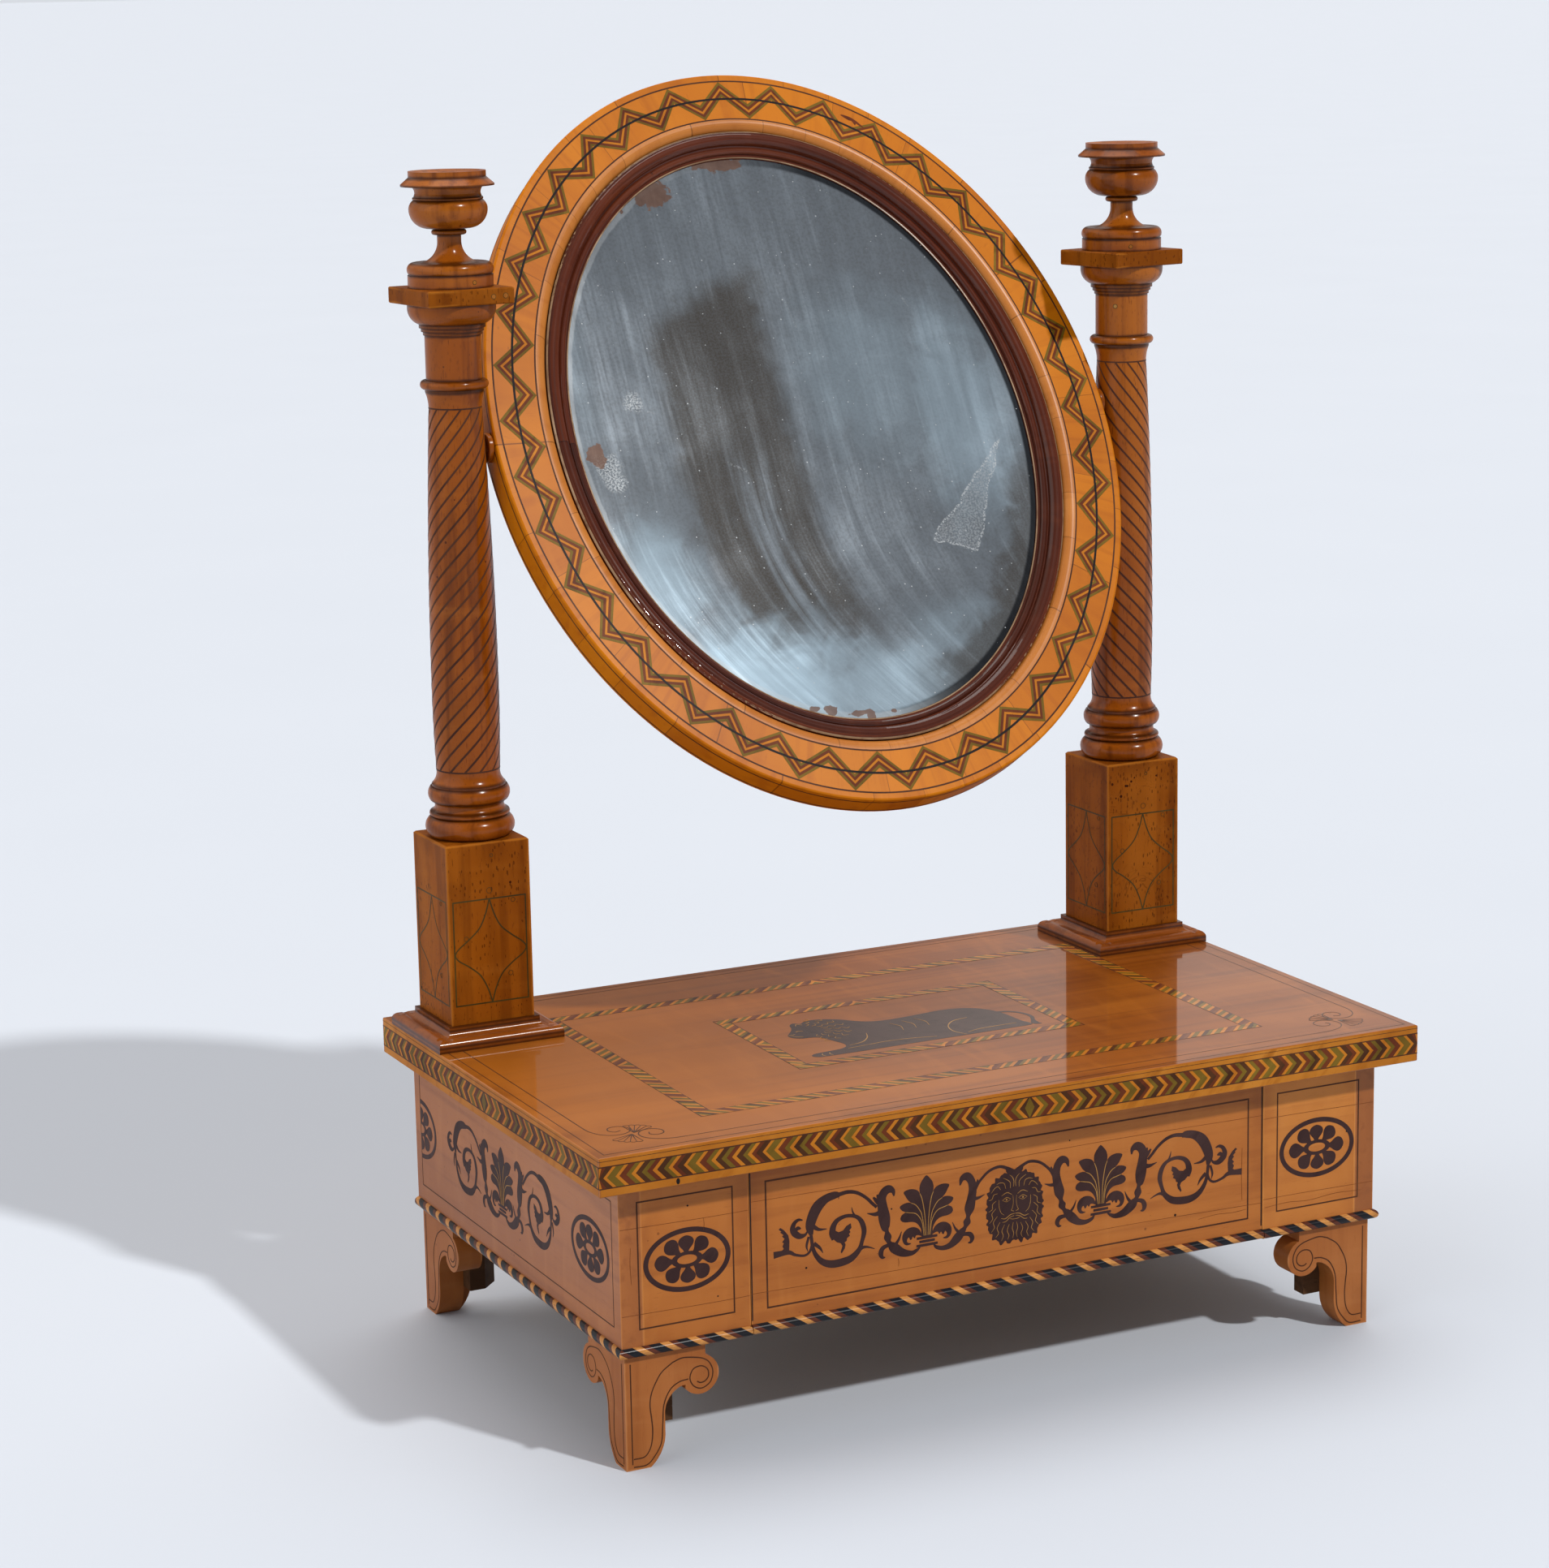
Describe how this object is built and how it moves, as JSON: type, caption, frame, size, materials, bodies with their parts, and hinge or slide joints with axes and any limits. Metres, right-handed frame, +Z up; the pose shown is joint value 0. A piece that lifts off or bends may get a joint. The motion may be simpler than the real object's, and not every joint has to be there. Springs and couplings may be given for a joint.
{
  "type": "dresser top mirror",
  "caption": "Oval swing mirror between turned columns with urn finials, on an inlaid stand with a frieze drawer and scrolled bracket feet; the glass tilts and the drawer slides.",
  "frame": {"origin": "on the table plane, under the middle of the base top", "axes": "+X to the right as seen from the front, +Y to the back, +Z up"},
  "size_m": [0.48, 0.3632, 0.674],
  "materials": {
    "top_veneer": "gloss polish",
    "case_veneer": "satin polish",
    "chevron_banding": "satin polish",
    "striped_bead": "satin polish",
    "foot_wood": "satin polish",
    "lining_wood": "bare",
    "drawer_wood": "bare",
    "column_wood": "satin polish",
    "frame_veneer": "satin polish",
    "mahogany": "gloss polish",
    "silvered_glass": "worn silvering",
    "brad_steel": "dull"
  },
  "bodies": {
    "base": {"base_top": "top_veneer", "carcase_side_left": "case_veneer", "carcase_side_right": "case_veneer", "front_panel_left": "case_veneer", "front_panel_right": "case_veneer", "edge_band_front": "chevron_banding", "edge_band_left": "chevron_banding", "edge_band_right": "chevron_banding", "bead_front_left": "striped_bead", "bead_front_right": "striped_bead", "bead_left": "striped_bead", "bead_right": "striped_bead", "foot_front_left_face": "foot_wood", "foot_front_left_return": "foot_wood", "foot_front_right_face": "foot_wood", "foot_front_right_return": "foot_wood", "foot_back_left_return": "foot_wood", "foot_back_left_rear": "foot_wood", "foot_back_right_return": "foot_wood", "foot_back_right_rear": "foot_wood", "carcase_back": "lining_wood", "carcase_bottom": "lining_wood", "drawer_partition_left": "lining_wood", "drawer_partition_right": "lining_wood", "drawer_stops": "lining_wood", "foot_block_front_left": "lining_wood", "foot_block_front_right": "lining_wood", "foot_block_back_left": "lining_wood", "foot_block_back_right": "lining_wood", "plinth_moulding_left": "column_wood", "pedestal_left": "column_wood", "column_shaft_left": "column_wood", "abacus_left": "column_wood", "urn_finial_left": "column_wood", "plinth_moulding_right": "column_wood", "pedestal_right": "column_wood", "column_shaft_right": "column_wood", "abacus_right": "column_wood", "urn_finial_right": "column_wood"},
    "drawer": {"drawer_front": "case_veneer", "drawer_bead": "striped_bead", "drawer_side_left": "drawer_wood", "drawer_side_right": "drawer_wood", "drawer_back": "drawer_wood", "drawer_bottom": "drawer_wood"},
    "mirror": {"mirror_frame": "frame_veneer", "sight_moulding": "mahogany", "looking_glass": "silvered_glass", "backboard": "lining_wood", "backboard_brads": "brad_steel", "pivot_peg_left": "column_wood", "pivot_peg_right": "column_wood"}
  },
  "joints": [
    {"name": "drawer_slide", "type": "slide", "parent": "base", "child": "drawer", "axis": [0, -1, 0], "range_m": [0, 0.19]},
    {"name": "mirror_tilt", "type": "hinge", "parent": "base", "child": "mirror", "pos_m": [0, 0.0977, 0.487], "axis": [1, 0, 0], "continuous": true}
  ]
}
